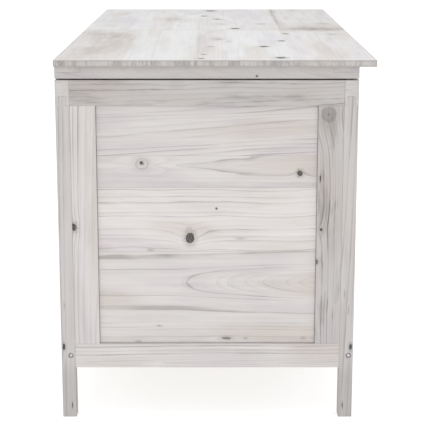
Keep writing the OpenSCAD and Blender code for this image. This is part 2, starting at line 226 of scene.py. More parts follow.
def srgb(r, g, b):
    """A colour given as 0 to 255 display values, in linear light."""
    def linear(c):
        c = c / 255
        return c / 12.92 if c <= 0.04045 else ((c + 0.055) / 1.055) ** 2.4
    return (linear(r), linear(g), linear(b), 1.0)


def sockets(kind, *labels):
    return [(label, kind) for label in labels]


FLOAT = "NodeSocketFloat"
VECTOR = "NodeSocketVector"
COLOUR = "NodeSocketColor"


# ---------------------------------------------------------------- wood

WASH = (199, 195, 193)
INSIDE_WASH = (190, 180, 165)
DOWEL_WASH = (214, 196, 168)
BEIGE_TINT = srgb(209, 203, 197)
LILAC_TINT = srgb(211, 206, 214)
RING_COLOUR = srgb(116, 110, 107)
# Bare wood where the wash wears off the edges, and painted shade along the lid's edges
BARE_WOOD_AND_EDGE_SHADE = srgb(160, 152, 143)
# Smudged wood, and painted shadow over the joint of the lid boards
SMUDGE_AND_SHADOW_COLOUR = srgb(158, 151, 147)
END_DARK = srgb(118, 113, 111)
END_PALE = srgb(172, 168, 166)
KNOT_GREY = srgb(132, 125, 120)
KNOT_DARK = srgb(24, 20, 19)

# Noise steps a millimetre, along the grain and across it
WAVE_STEPS = (0.0045, 0.014)
RIPPLE_STEPS = (0.02, 0.06)
FIBRE_STEPS = (0.035, 1.1)
STREAK_STEPS = (0.006, 0.20)
CLOUD_STEPS = (0.006, 0.012)
WARMTH_STEPS = (0.004, 0.02)
PATCH_STEPS = (0.011, 0.05)
BLOTCH_STEPS = (0.014, 0.06)
FADE_STEPS = (0.009, 0.035)
RAGGED_STEPS = (0.30, 1.3)
MOTTLE_STEPS = (0.42, 0.42)
SPECK_STEPS = (0.55, 0.7)
# The same on a sawn end: its stripes across the face and through the thickness, and wide bands of them
STRIPE_STEPS = (0.24, 0.04)
BAND_STEPS = 0.04
# The same away from the pith, for the uneven spacing of the rings
UNEVEN_STEPS = 0.045
# What is added to a seed where it already serves another noise
BLOTCH_SEED = 3.0
SPECK_SEED = 7.0

# The noise values between which something comes in or goes, and from and to how much, where not from 0 to 1
BEIGE_WHERE = (0.52, 0.70, 0.0, 0.55)
LILAC_WHERE = (0.48, 0.32, 0.0, 0.50)
PATCH_WHERE = (0.50, 0.68)
BLOTCH_WHERE = (0.32, 0.66, 0.35, 1.0)
FADE_WHERE = (0.36, 0.62, 0.45, 1.15)
STRIPE_WHERE = (0.36, 0.58)
MOTTLE_WHERE = (0.40, 0.62, 1.0, 0.74)
SPECK_WHERE = (0.52, 0.64)

# Growth lines, in millimetres: the dark line's two flanks, the widest ring that darkens fully towards its
# line, and how smoothly a tongue is cut off. The last is the least reach beside the pith, squared
LINE_RISE = 0.4
LINE_FALL = (0.7, 2.6)
FULL_RAMP_RING = 6.0
TONGUE_BLEND = 50.0
REACH_LEAST = 160.0
# The same in rings: where the slow darkening and the minor lines begin and end, and how uneven it all is
RAMP_START = (0.15, 0.95)
RAMP_END = (0.95, 1.0)
MINOR_START = (0.55, 0.90)
MINOR_END = (0.92, 1.0)
MINOR_PER_RING = 2.6
MINOR_SHIFT = 0.4
RING_UNEVEN = 3.0
RIPPLE_SHARE = 0.15
FLATTEST_SQUARED = 0.0009
FAINTEST_RING = 0.15

# Edges, in millimetres from where something begins to fade to where it is gone
EDGE_START = 0.1
EDGE_WIDTH = 0.9
# The edge band widens with the wear, which on the lid boards is raised into painted shade
EDGE_WEAR_AND_SHADE_WIDTH = 0.6
EDGE_RAGGED = 1.6
SEAM_WIDTH = (0.15, 0.75)
ARRIS_WIDTH = (0.3, 2.2)
# Painted shade over the lowest part of a leg, full up to the first height and gone at the second
PAINTED_FOOT_SHADE_SPAN = (60.0, 115.0)

# How much of each thing shows in the colour
FIBRE_SHADE = 0.10
STREAK_SHADE = 0.20
CLOUD_SHADE = 0.14
PATCH_SHADE = 0.14
# How much painted shade lies on a leg near the floor
PAINTED_FOOT_SHADE = 0.15
LINE_SHARE = 0.72
RAMP_SHARE = 0.28
MINOR_SHARE = 0.18
LINES_IN_PATCH = 0.8
LINES_LOST_IN_END = 0.5
STRIPE_SHARE = 0.60
BAND_SHARE = 0.40
BLOTCH_MIX = 0.55
ARRIS_MIX = 0.6
EDGE_MIX = 0.30
SEAM_MIX = 0.45
GREY_MIX = 0.50
DARK_MIX = 0.94

# A knot's parts, in radii from its middle
KNOT_INSIDE = (0.92, 1.06)
KNOT_RIM_START = (0.74, 0.94)
KNOT_RIM_END = (0.96, 1.10)
KNOT_HEART = (0.16, 0.34)
KNOT_GLOW = (0.9, 2.4)
# How far its outline swings, and how ragged its outline, its heart and its glow are, in radii
KNOT_SWING = 0.56
KNOT_RAGGED = 0.22
HEART_RAGGED = 0.4
GLOW_RAGGED = 0.8
# Outline noise in steps a radius, and its seed as a share of the knot's place
OUTLINE_STEPS = 0.9
OUTLINE_SEED = 0.37
# Its own rings, as an angle a radius, and the part of their wave that shows
KNOT_RING_ANGLE = 26.0
KNOT_RING_WAVE = (0.1, 0.9)
# How far it bends the board's rings, along and across the grain
KNOT_REACH_ALONG = 10.0
KNOT_REACH_ACROSS = 5.0
HARD_BEND = 1.1
SOFT_BEND_LOSS = 0.55
# How dark its parts are; softness at which the dark is gone and the pale parts come; greys, hard and faint
RIM_DARK = 0.24
HEART_DARK = 0.58
RINGS_DARK = 0.12
SPECK_DARK = 0.62
HARD_UP_TO = 0.75
PALE_BELOW = (1.0, 0.8)
INSIDE_GREY = (0.85, 0.14)
GLOW_GREY = (0.55, 0.32)

# Roughness, and the share of each thing in it and in the height
WOOD_ROUGHNESS = 0.60
FIBRE_ROUGHNESS = 0.16
LINE_ROUGHNESS = 0.06
KNOT_SMOOTHNESS = 0.14
FIBRE_HEIGHT = 0.35
LINE_DEPTH = 0.5
KNOT_DEPTH = 0.8
EDGE_DEPTH = 0.2
SEAM_DEPTH = 0.6
WOOD_BUMP = 0.55
WOOD_RELIEF = 0.4 * MM
WOOD_SPECULAR = 0.35


def make_knot_group():
    """One knot at (u, v): how far it bends the rings, its dark parts and the grey of it and round it."""
    inputs = sockets(VECTOR, "Place") + sockets(FLOAT, "U", "V", "Radius", "Stretch", "Soft")
    g, wire, close = new_group("knot", inputs, sockets(FLOAT, "Bend", "Dark", "Grey"))
    u, v, _ = g.split(wire["Place"])
    radius, soft = wire["Radius"], wire["Soft"]
    hard = g.fading(soft, 0.0, HARD_UP_TO)

    # How many radii away this place is, with an irregular outline
    du = (u - wire["U"]) / wire["Stretch"]
    dv = v - wire["V"]
    away = g.math("SQRT", du * du + dv * dv) / radius
    own_seed = wire["U"] * OUTLINE_SEED
    outline = g.noise(du * OUTLINE_STEPS / radius, dv * OUTLINE_STEPS / radius, own_seed, detail=2.0) - 0.5
    ragged = g.noise(u * RAGGED_STEPS[0], v * RAGGED_STEPS[1], wire["V"], detail=3.0) - 0.5
    away = away + outline * KNOT_SWING + ragged * KNOT_RAGGED

    # A hard knot is dark and mottled with specks round it, a faint one has only a rim, rings and a heart
    inside = g.fading(away, *KNOT_INSIDE)
    rim = g.smooth(away, *KNOT_RIM_START) * g.fading(away, *KNOT_RIM_END)
    heart = g.fading(away + ragged * HEART_RAGGED, *KNOT_HEART)
    rings = g.smooth(g.math("SINE", away * KNOT_RING_ANGLE), *KNOT_RING_WAVE) * inside
    mottle = g.noise(u * MOTTLE_STEPS[0], v * MOTTLE_STEPS[1], wire["U"], detail=3.0, roughness=0.7)
    solid = inside * g.smooth(mottle, *MOTTLE_WHERE)
    glow = g.fading(away + ragged * GLOW_RAGGED, *KNOT_GLOW)
    speck = g.noise(u * SPECK_STEPS[0], v * SPECK_STEPS[1], wire["V"] + SPECK_SEED, detail=2.0)
    speck = g.smooth(speck, *SPECK_WHERE) * glow * SPECK_DARK
    pale = g.most(g.most(rim * RIM_DARK, heart * HEART_DARK), rings * RINGS_DARK)
    dark = g.most(g.most(solid, speck) * hard, pale * g.smooth(soft, *PALE_BELOW))
    inside_grey = inside * g.smooth(soft, 0.0, 1.0, *INSIDE_GREY)
    glow_grey = glow * g.smooth(soft, 0.0, 1.0, *GLOW_GREY)
    grey = g.most(inside_grey, glow_grey)

    # The rings part round the knot, farther along the grain than across it
    area = radius * radius
    far = du * du / (area * KNOT_REACH_ALONG) + dv * dv / (area * KNOT_REACH_ACROSS)
    bend = g.bell(far) * radius * (HARD_BEND - soft * SOFT_BEND_LOSS)
    close({"Bend": bend, "Dark": dark, "Grey": grey})
    return g.tree


def growth_lines(g, wire, place):
    """Late wood: rings round the pith line, bent by waves and knots; taper opens them into tongues."""
    u, v, w = place
    seed, ring = wire["Seed"], wire["Ring"]
    wave = g.streaks(place, WAVE_STEPS, (seed, None, seed), detail=1.0) - 0.5
    ripple = g.streaks(place, RIPPLE_STEPS, (None, seed, None), detail=2.0) - 0.5
    dv = v - wire["Pith V"] + wave * wire["Wavy"]
    dw = w - wire["Pith W"]
    reach = g.bell(dv * dv / (dw * dw * 2.0 + REACH_LEAST))
    tilt = wire["Taper"] * reach
    along = g.math("SMOOTH_MIN", u, wire["Stop"], TONGUE_BLEND)
    away = g.math("SQRT", dv * dv + dw * dw)
    radius = away + along * wire["Taper"] * reach + u * wire["Slope"] + wire["Bend"]
    radius = radius + ripple * wire["Wavy"] * RIPPLE_SHARE
    uneven = g.noise(away * UNEVEN_STEPS + seed, seed, 0.5, detail=1.0)
    count = radius / ring + uneven * RING_UNEVEN + wire["Phase"]
    part = g.math("FRACT", count)

    # Each ring has a strength of its own
    which = g.math("FLOOR", count) + seed
    drawn = g.add("ShaderNodeTexWhiteNoise", {"W": which}, noise_dimensions="1D")
    strength = g.smooth(Wire(g, drawn.outputs["Value"]), 0.0, 1.0, FAINTEST_RING, 1.0)

    # The dark line keeps its width on the surface, however flat the ring lies under it
    steep = g.math("SQRT", dv * dv / (away * away) + tilt * tilt + FLATTEST_SQUARED)
    steep = g.most(steep, wire["End"])
    to_next = (1.0 - part) * ring / steep
    line = g.smooth(to_next, 0.0, LINE_RISE) * g.fading(to_next, *LINE_FALL)
    ramp = g.smooth(part, *RAMP_START) * g.fading(part, *RAMP_END)
    fill = g.least(FULL_RAMP_RING / ring, 1.0)
    late = (line * LINE_SHARE + ramp * fill * RAMP_SHARE) * strength
    minor = g.math("FRACT", count * MINOR_PER_RING + MINOR_SHIFT)
    minor = g.smooth(minor, *MINOR_START) * g.fading(minor, *MINOR_END)
    return late, minor


def edges_and_seams(g, wire, place, fibre):
    """Edge wear, raised on the lid into painted shade along its edges, the seams between staves, painted
    shade low on a leg near the floor, and the depth under the face.
    """
    u, v, w = place
    hu, hv, hw = g.split(wire["Half"])
    au = hu - g.math("ABSOLUTE", u)
    av = hv - g.math("ABSOLUTE", v)
    aw = hw - g.math("ABSOLUTE", w)
    # The middle one of the three distances to the board's faces is the distance to the closest edge
    near = g.most(g.least(au, av), g.least(g.most(au, av), aw))
    worn = wire["Worn"]
    ragged = near + (fibre - 0.5) * EDGE_RAGGED
    # Edge wear; where it is raised, as on the lid boards, it is painted shade along the edges
    edge = g.fading(ragged, EDGE_START, EDGE_WIDTH + worn * EDGE_WEAR_AND_SHADE_WIDTH) * worn
    seam_gap = g.least(v - wire["Seam Low"], wire["Seam High"] - v)
    seam = g.fading(seam_gap, *SEAM_WIDTH) * wire["Seam"]
    # Painted shade on the lowest part of a leg, darkest at the floor
    foot = g.fading(u + hu, *PAINTED_FOOT_SHADE_SPAN) * wire["Foot"]
    return edge, seam, foot, aw


def make_timber_group():
    """White-washed softwood: growth lines, wavy grain, fibres, a cloudy wash, smudged places, and edge wear,
    which on the lid is raised into painted shade along the edges.
    """
    numbers = ("Seed", "Pith V", "Pith W", "Taper", "Stop", "Slope", "Ring", "Phase", "Contrast", "Wavy",
               "Patch", "Bend", "Dark", "Grey", "End", "Stripes", "Worn", "Foot", "Smudge", "Seam Low",
               "Seam High", "Seam")
    inputs = sockets(VECTOR, "Place", "Half") + sockets(COLOUR, "Wash") + sockets(FLOAT, *numbers)
    outputs = sockets(COLOUR, "Color") + sockets(FLOAT, "Roughness", "Height")
    g, wire, close = new_group("timber", inputs, outputs)
    place = g.split(wire["Place"])
    u, v, w = place
    seed = wire["Seed"]
    late, minor = growth_lines(g, wire, place)

    # Fibres, streaks and slow clouds in the wash
    fibre = g.streaks(place, FIBRE_STEPS, (None, None, seed), detail=3.0, roughness=0.6)
    streak = g.streaks(place, STREAK_STEPS, (seed, None, None), detail=3.0)
    cloud = g.streaks(place, CLOUD_STEPS, (None, seed, None), detail=2.0)
    warm = g.streaks(place, WARMTH_STEPS, (seed, None, seed), detail=1.0)
    patch = g.streaks(place, PATCH_STEPS, (seed, None, seed), detail=3.0, roughness=0.6)
    patch = g.smooth(patch, *PATCH_WHERE) * wire["Patch"]
    edge, seam, foot, depth = edges_and_seams(g, wire, place, fibre)

    plain = wire["Wash"]
    wash = g.mix(g.smooth(warm, *BEIGE_WHERE), plain, g.multiplied(BEIGE_TINT, plain))
    wash = g.mix(g.smooth(warm, *LILAC_WHERE), wash, g.multiplied(LILAC_TINT, plain))
    shade = 1.0 + (streak - 0.5) * STREAK_SHADE + (cloud - 0.5) * CLOUD_SHADE + (fibre - 0.5) * FIBRE_SHADE
    colour = g.scaled(wash, shade * (1.0 - foot * PAINTED_FOOT_SHADE) * (1.0 - patch * PATCH_SHADE))

    # Smudged places darken the wash in blotches; the one over the lid boards' joint is painted shadow
    blotch = g.noise(u * BLOTCH_STEPS[0] + seed, v * BLOTCH_STEPS[1], seed + BLOTCH_SEED,
                     detail=3.0, roughness=0.6)
    blotch = wire["Smudge"] * g.smooth(blotch, *BLOTCH_WHERE)
    colour = g.mix(blotch * BLOTCH_MIX, colour, SMUDGE_AND_SHADOW_COLOUR)

    # The lines fade here and there, show more in patches, and are half lost in a cut end
    lines = g.most(late, minor * MINOR_SHARE)
    fade = g.streaks(place, FADE_STEPS, (seed, None, seed), detail=2.0)
    fade = g.smooth(fade, *FADE_WHERE)
    lines = lines * wire["Contrast"] * fade
    lines = lines * (1.0 + patch * LINES_IN_PATCH) * (1.0 - wire["End"] * LINES_LOST_IN_END)
    colour = g.mix(lines, colour, RING_COLOUR)

    # A sawn end shows stripes through the thickness, dark along its arris
    striped = wire["End"] * wire["Stripes"]
    stripe = g.noise(v * STRIPE_STEPS[0] + seed, w * STRIPE_STEPS[1], seed, detail=3.0, roughness=0.65)
    band = g.noise(v * BAND_STEPS + seed, seed, 0.5, detail=1.0)
    stripe = g.smooth(stripe * STRIPE_SHARE + band * BAND_SHARE, *STRIPE_WHERE)
    colour = g.mix(striped, colour, g.mix(stripe, END_DARK, END_PALE))
    arris = g.fading(depth, *ARRIS_WIDTH) * striped
    colour = g.mix(arris * ARRIS_MIX, colour, END_DARK)

    dark = wire["Dark"]
    # Bare wood at the edges; on the lid boards this is painted shade along their edges as well as wear
    colour = g.mix(edge * EDGE_MIX, colour, BARE_WOOD_AND_EDGE_SHADE)
    colour = g.mix(seam * SEAM_MIX, colour, RING_COLOUR)
    colour = g.mix(wire["Grey"] * GREY_MIX, colour, KNOT_GREY)
    colour = g.mix(dark * DARK_MIX, colour, KNOT_DARK)
    roughness = WOOD_ROUGHNESS + (fibre - 0.5) * FIBRE_ROUGHNESS + late * LINE_ROUGHNESS
    roughness = roughness - dark * KNOT_SMOOTHNESS
    height = fibre * FIBRE_HEIGHT - late * LINE_DEPTH - dark * KNOT_DEPTH
    height = height - edge * EDGE_DEPTH - seam * SEAM_DEPTH
    close({"Color": colour, "Roughness": roughness, "Height": height})
    return g.tree


knot_group = make_knot_group()
timber_group = make_timber_group()

# The looks that the timber group takes as single numbers, each under the same name
NUMBER_LOOKS = ("seed", "taper", "stop", "slope", "ring", "phase", "contrast", "wavy", "patch", "stripes",
                "worn", "foot", "seam")
NO_STOP = 2000.0


class Board:
    """One board's own directions, place, grain and knots; makes its material.

    Its looks: pith is the tree's middle line at (v, w). Taper opens the rings into tongues, up to stop along
    u, and slope tilts them. Ring is their spacing in millimetres, phase where they start, and wavy how far
    waves carry them. Contrast, patch, stripes and seam say how much of those shows; worn says how much edge
    wear shows, raised on the lid into painted shade along its edges, and foot how much painted shade lies on
    a leg near the floor. Wash and tone give the colour. Stave is the two sides of a glued-up stave in v, and
    shift its middle. Seed makes the board unlike the others.
    """

    def __init__(self, name, low, high, along, face, **looks):
        self.name = name
        self.low = Vector(low)
        self.high = Vector(high)
        self.order = (along, 3 - along - face, face)
        rng = random.Random(name)
        half_v = (high[self.order[1]] - low[self.order[1]]) / 2 / MM
        self.looks = {
            "seed": rng.uniform(0.0, 90.0),
            "pith": (rng.choice((-1, 1)) * rng.uniform(0.2, 2.0) * half_v, rng.uniform(-40.0, 40.0)),
            "taper": rng.uniform(-0.12, 0.12),
            "stop": NO_STOP,
            "slope": rng.uniform(-0.02, 0.02),
            "ring": rng.uniform(4.0, 7.0),
            "phase": rng.uniform(0.0, 1.0),
            "contrast": 0.5,
            "wavy": 8.0,
            "patch": 0.3,
            "stripes": 0.12,
            "wash": WASH,
            "tone": 1.0,
            "worn": 1.0,
            "foot": 0.0,
            "knots": (),
            "smudges": (),
            "shift": 0.0,
            "stave": (-half_v, half_v),
            "seam": 0.0,
        }
        unknown = set(looks) - set(self.looks)
        if unknown:
            raise ValueError("no such look: %s" % unknown)
        self.looks.update(looks)

    def material(self):
        material, g, spot = new_material("wood_" + self.name)
        middle = (self.low + self.high) / 2
        moved = g.add("ShaderNodeVectorMath", {0: spot.outputs["Object"], 1: middle}, operation="SUBTRACT")
        axes = g.split(g.scaled(moved.outputs[0], 1 / MM))
        place = g.join(*[axes[i] for i in self.order])
        facing = g.split(spot.outputs["Normal"])[self.order[0]]
        bend, dark, grey = self.knots(g, place)
        looks = self.looks
        half = (self.high - self.low) / 2 / MM
        inputs = {
            "Place": place,
            "Half": [half[i] for i in self.order],
            "Pith V": looks["pith"][0] + looks["shift"],
            "Pith W": looks["pith"][1],
            "Bend": bend,
            "Dark": dark,
            "Grey": grey,
            "Smudge": self.smudges(g, place),
            "End": g.smooth(g.math("ABSOLUTE", facing), 0.6, 0.9),
            "Wash": [c * looks["tone"] for c in srgb(*looks["wash"])[:3]] + [1.0],
            "Seam Low": looks["stave"][0],
            "Seam High": looks["stave"][1],
        }
        for name in NUMBER_LOOKS:
            inputs[name.title()] = looks[name]
        timber = self.grouped(g, timber_group, inputs)
        shader_inputs = {"Base Color": timber.outputs["Color"], "Roughness": timber.outputs["Roughness"],
                         "Specular IOR Level": WOOD_SPECULAR}
        close_material(g, shader_inputs, timber.outputs["Height"], WOOD_BUMP, WOOD_RELIEF)
        return material

    def knots(self, g, place):
        """What all the board's knots do together: bend, dark and grey."""
        bend, dark, grey = 0.0, 0.0, 0.0
        for ku, kv, radius, stretch, soft in self.looks["knots"]:
            inputs = {"Place": place, "U": ku, "V": kv, "Radius": radius, "Stretch": stretch, "Soft": soft}
            knot = self.grouped(g, knot_group, inputs)
            bend = Wire(g, knot.outputs["Bend"]) + bend
            dark = g.most(Wire(g, knot.outputs["Dark"]), dark)
            grey = g.most(Wire(g, knot.outputs["Grey"]), grey)
        return bend, dark, grey

    def smudges(self, g, place):
        """The board's soft darker places together: smudged wood, and painted shadow where one lies over a
        joint.
        """
        smudge_and_shadow = 0.0
        if self.looks["smudges"]:
            u, v, _ = g.split(place)
        for su, sv, long, wide, strength in self.looks["smudges"]:
            du = (u - su) / long
            dv = (v - sv) / wide
            smudge_and_shadow = g.bell(du * du + dv * dv) * strength + smudge_and_shadow
        return smudge_and_shadow

    @staticmethod
    def grouped(g, group, inputs):
        node = g.tree.nodes.new("ShaderNodeGroup")
        node.node_tree = group
        for key, value in inputs.items():
            g.put(node.inputs[key], value)
        return node


# ---------------------------------------------------------------- wooden pieces, eased from the CAD solids

MERGE_DISTANCE = 0.01 * MM
FLAT_ANGLE = math.radians(1)
SHARP_ANGLE = math.radians(30)
SHADING_ANGLE = math.radians(35)
SHORTEST_EASED = 8 * MM
EASED_SEGMENTS = 3


def clean_copy(node):
    """The CAD node's solid with its triangles joined into flat faces."""
    bm = bmesh.new()
    bm.from_mesh(frame["nodes"][node].data)
    bmesh.ops.remove_doubles(bm, verts=bm.verts, dist=MERGE_DISTANCE)
    bmesh.ops.dissolve_limit(bm, angle_limit=FLAT_ANGLE, verts=bm.verts, edges=bm.edges)
    return bm


def ease(bm, width):
    """Rounds the long sharp edges inside the solid's own box, and leaves the rims of holes as they are."""
    corners = [vert.co.copy() for vert in bm.verts]
    low = [min(corner[i] for corner in corners) for i in range(3)]
    high = [max(corner[i] for corner in corners) for i in range(3)]
    sharp = [edge for edge in bm.edges if len(edge.link_faces) == 2 and edge.calc_length() > SHORTEST_EASED
             and edge.calc_face_angle(0) > SHARP_ANGLE]
    bmesh.ops.bevel(bm, geom=sharp, offset=width, offset_type="OFFSET", segments=EASED_SEGMENTS,
                    profile=0.5, affect="EDGES", clamp_overlap=False, loop_slide=True)
    for vert in bm.verts:
        vert.co = [min(max(vert.co[i], low[i]), high[i]) for i in range(3)]


slots = {part["node"]: part["material_slot"] for part in frame["record"]["subparts"]}


def finish_piece(node, ending, bm, materials):
    """Makes the object, which stands for its CAD node and rides on the same body."""
    name = node + ending
    mesh = bpy.data.meshes.new(name)
    bmesh.ops.recalc_face_normals(bm, faces=bm.faces)
    bm.to_mesh(mesh)
    bm.free()
    for material in materials:
        mesh.materials.append(material)
    mesh.shade_smooth()
    mesh.set_sharp_from_angle(angle=SHADING_ANGLE)
    piece = bpy.data.objects.new(name, mesh)
    bpy.context.scene.collection.objects.link(piece)
    even = piece.modifiers.new("even_normals", "WEIGHTED_NORMAL")
    even.keep_sharp = True
    even.weight = 100
    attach(piece, frame["nodes"][node]["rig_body"])
    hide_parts(node)


def make_solid(node, along, face, width=0.5, **looks):
    """A piece sawn from one board."""
    low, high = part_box(node)
    bm = clean_copy(node)
    ease(bm, width * MM)
    board = Board(node, low, high, along, face, **looks)
    finish_piece(node, ".wood", bm, [board.material()])


def make_glued(node, along, face, seams, looks, knots, width=0.3, **shared):
    """A piece glued up from staves: seams are the joints' places, and looks has one entry a stave."""
    low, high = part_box(node)
    across = 3 - along - face
    middle = (low[across] + high[across]) / 2
    bm = clean_copy(node)
    ease(bm, width * MM)
    normal = Vector((0, 0, 0))
    normal[across] = 1
    for place in seams:
        everything = bm.verts[:] + bm.edges[:] + bm.faces[:]
        bmesh.ops.bisect_plane(bm, geom=everything, plane_co=normal * place, plane_no=normal)
    for bm_face in bm.faces:
        centre = bm_face.calc_center_median()[across]
        bm_face.material_index = sum(1 for place in seams if centre > place)
    materials = []
    places = [low[across]] + list(seams) + [high[across]]
    for i, (start, end) in enumerate(zip(places, places[1:])):
        own = {"seam": 0.6, "shift": ((start + end) / 2 - middle) / MM}
        own.update(shared)
        own.update(looks[i])
        own["stave"] = ((start - middle) / MM, (end - middle) / MM)
        own["knots"] = [knot for knot in knots if start <= middle + knot[1] * MM < end]
        materials.append(Board("%s_%d" % (node, i + 1), low, high, along, face, **own).material())
    finish_piece(node, ".wood", bm, materials)


KNOT_RADII = (1.6, 2.4, 3.5, 5.0, 7.5)
KNOT_SOFTNESSES = (0.0, 0.3, 0.6, 0.85)


def plain_knots(name, half_u, half_v, count):
    """Knots of a board that nothing is known about, spread along it."""
    rng = random.Random("knots " + name)
    knots = []
    for i in range(count):
        u = ((i + rng.uniform(0.15, 0.85)) / count * 2 - 1) * half_u
        v = rng.uniform(-0.8, 0.8) * half_v
        radius = rng.choice(KNOT_RADII) * rng.uniform(0.85, 1.15)
        radius = min(radius, half_v * 0.45)
        knots.append((u, v, radius, rng.uniform(0.9, 1.5), rng.choice(KNOT_SOFTNESSES)))
    return knots


# ---------------------------------------------------------------- other materials

# Noise steps a millimetre in the zinc: its scratches along and across them, its clouds and its crystals
SCRATCH_ALONG = 0.25
SCRATCH_ACROSS = 9.0
ZINC_CLOUDS = 0.35
ZINC_CRYSTALS = 0.55


def make_metal(name, colour, rough_low, rough_high, along):
    """Zinc plate: fine scratches along one axis over cloudy crystals, duller in places."""
    material, g, spot = new_material(name)
    place = g.scaled(spot.outputs["Object"], 1 / MM)
    axes = g.split(place)
    fine = [SCRATCH_ACROSS] * 3
    fine[along] = SCRATCH_ALONG
    scratch = g.noise(*[axes[i] * fine[i] for i in range(3)], detail=2.0)
    cloud = g.even_noise(axes, ZINC_CLOUDS, detail=3.0, roughness=0.6)
    spangle = g.add("ShaderNodeTexVoronoi", {"Vector": place, "Scale": ZINC_CRYSTALS})
    shade = 0.86 + (scratch - 0.5) * 0.22 + (cloud - 0.5) * 0.30
    base = g.mix(g.smooth(cloud, 0.35, 0.75), srgb(*colour), srgb(*[c * 0.93 for c in colour]))
    rough = g.smooth(scratch * 0.6 + cloud * 0.4, 0.3, 0.7, rough_low, rough_high)
    height = scratch * 0.4 + Wire(g, spangle.outputs["Distance"]) * 0.3
    inputs = {"Base Color": g.scaled(base, shade), "Roughness": rough, "Metallic": 1.0}
    close_material(g, inputs, height, strength=0.3, depth=0.05 * MM)
    return material


def make_rubber():
    """Grey rubber with a fine grain and paler dust in it."""
    material, g, spot = new_material("bumper_rubber")
    place = g.split(g.scaled(spot.outputs["Object"], 1 / MM))
    grain = g.even_noise(place, 2.4, detail=3.0)
    dust = g.even_noise(place, 0.4, detail=2.0)
    colour = g.mix(g.smooth(dust, 0.4, 0.7, 0.1, 0.5), srgb(58, 58, 60), srgb(96, 94, 92))
    inputs = {"Base Color": g.scaled(colour, 0.85 + grain * 0.3), "Roughness": 0.62 + grain * 0.2,
              "Specular IOR Level": 0.4}
    close_material(g, inputs, grain, strength=0.4, depth=0.1 * MM)
    return material


def make_floor_material():
    """A pale matt floor that glows a little, like a light table."""
    material, g, spot = new_material("studio_floor")
    x, y, z = g.split(spot.outputs["Object"])
    mottle = g.noise(x * 1.3, y * 1.3, z, detail=3.0)
    colour = g.mix(mottle, srgb(168, 168, 168), srgb(172, 172, 172))
    inputs = {"Base Color": colour, "Roughness": 0.9, "Specular IOR Level": 0.1,
              "Emission Color": (1.0, 1.0, 1.0, 1.0), "Emission Strength": 0.70}
    close_material(g, inputs)
    return material


def dress(node, material):
    """A CAD node that keeps its own shape and gets a material."""
    mesh = frame["nodes"][node].data
    mesh.materials.clear()
    mesh.materials.append(material)


# ---------------------------------------------------------------- the end in the photograph

LID_END = -495.0
LID_MIDDLE = -2.95
# How soft a knot is
FAINT = 1.0
SOFT = 0.6
HARD = 0.0


def on_lid(places):
    """Moves (from the near end, towards the front, and the rest) to the bench's own millimetres."""
    return [(LID_END + a, LID_MIDDLE - b, *rest) for a, b, *rest in places]


# Knots: (along the board, across it, radius, stretch, soft), in the bench's own millimetres
end_panel_knots = [
    (111.6, 420, 9.0, 1.1, 0.75), (112.6, 422, 2.4, 1.0, HARD), (-136.4, 405, 4.8, 0.9, 0.08),
    (36.6, 300, 8.3, 0.84, HARD), (38.0, 313, 3.6, 1.2, 0.8), (-5.4, 348, 1.5, 1.0, HARD),
    (99.6, 280, 2.0, 2.0, SOFT), (-56.4, 427, 2.0, 3.0, FAINT), (-43.4, 299, 1.4, 4.5, SOFT),
    (173.6, 283, 4.0, 2.2, FAINT), (-21.4, 133, 2.2, 3.5, 0.3), (-52.4, 133, 1.6, 2.0, SOFT),
    (86.6, 154, 1.4, 2.6, SOFT), (120.6, 128, 1.5, 2.5, SOFT), (-145.4, 133, 1.8, 2.0, SOFT),
]
# From the bottom stave up
end_panel_looks = [
    {"tone": 0.985, "contrast": 0.58, "pith": (28.5, 13), "taper": 0.17, "slope": 0.004, "stop": 36.0,
     "ring": 10.0, "phase": 0.675, "wavy": 6.0},
    {"tone": 1.04, "contrast": 0.43, "pith": (-70, 24), "taper": 0.0, "slope": 0.0,
     "ring": 7.0, "wavy": 22.0},
    {"tone": 0.95, "contrast": 0.60, "pith": (9.5, 0), "taper": 0.10, "slope": 0.0, "stop": 60.0,
     "ring": 20.0, "phase": 0.55, "wavy": 6.0},
    {"tone": 0.95, "contrast": 0.42, "pith": (-64, 18), "taper": 0.0, "slope": 0.05,
     "ring": 7.0, "wavy": 11.0},
]
near_lid_knots = on_lid([
    (34, 102.5, 8, 1.2, HARD), (24, -21.5, 5, 1.2, 0.3), (81, -17.5, 4, 1.2, 0.3), (194, -7.5, 5, 1.2, 0.4),
    (196, 82.5, 7, 1.3, HARD), (277, 20, 7, 1.3, SOFT), (315, 7.5, 5, 1.2, SOFT), (287, 117.5, 7, 1.2, 0.2),
    (415, 130, 6, 1.2, 0.2), (405, 215, 8, 1.3, SOFT), (450, -7.5, 6, 1.2, SOFT), (409, -212, 11, 1.5, 0.8),
    (371, -180, 6, 1.4, 0.8), (171, -202, 6, 1.4, FAINT),
])
far_lid_knots = on_lid([
    (519, 39, 8, 1.2, HARD), (619, 91.5, 9, 1.4, SOFT), (615, 13.5, 8, 1.2, SOFT), (727, 5, 7, 1.2, 0.3),
    (727, -82.5, 8, 1.5, SOFT), (806, -25, 8, 1.2, 0.2), (946, -10, 11, 1.2, 0.1), (507, 190, 34, 0.9, 0.85),
    (627, 215, 11, 1.4, 0.8),
])
# Smudges and painted shadow: (along the board, across it, length, width, strength). The one over the joint of
# the lid boards is painted shadow in the gap between them
joint_shadow = (20, 64, 1.9)
near_lid_smudges_and_shadow = on_lid([
    (407, -208, 90, 48, 1.3), (128, -200, 130, 46, 1.2), (290, -168, 130, 42, 1.1), (250, -20, 240, 26, 0.6),
    (330, 215, 200, 26, 0.3), (485, 190, *joint_shadow), (322, 4, 30, 13, 1.5),
])
far_lid_smudges_and_shadow = on_lid([
    (540, 190, 46, 62, 1.3), (726, -90, 60, 20, 1.3), (700, -205, 220, 30, 0.6), (600, -20, 120, 24, 0.4),
    (505, 190, *joint_shadow), (840, 126, 260, 4.5, 2.6),
])
PINKISH = (193, 191, 191)
BEIGE = (193, 191, 190)
BRIGHT = (194, 194, 194)
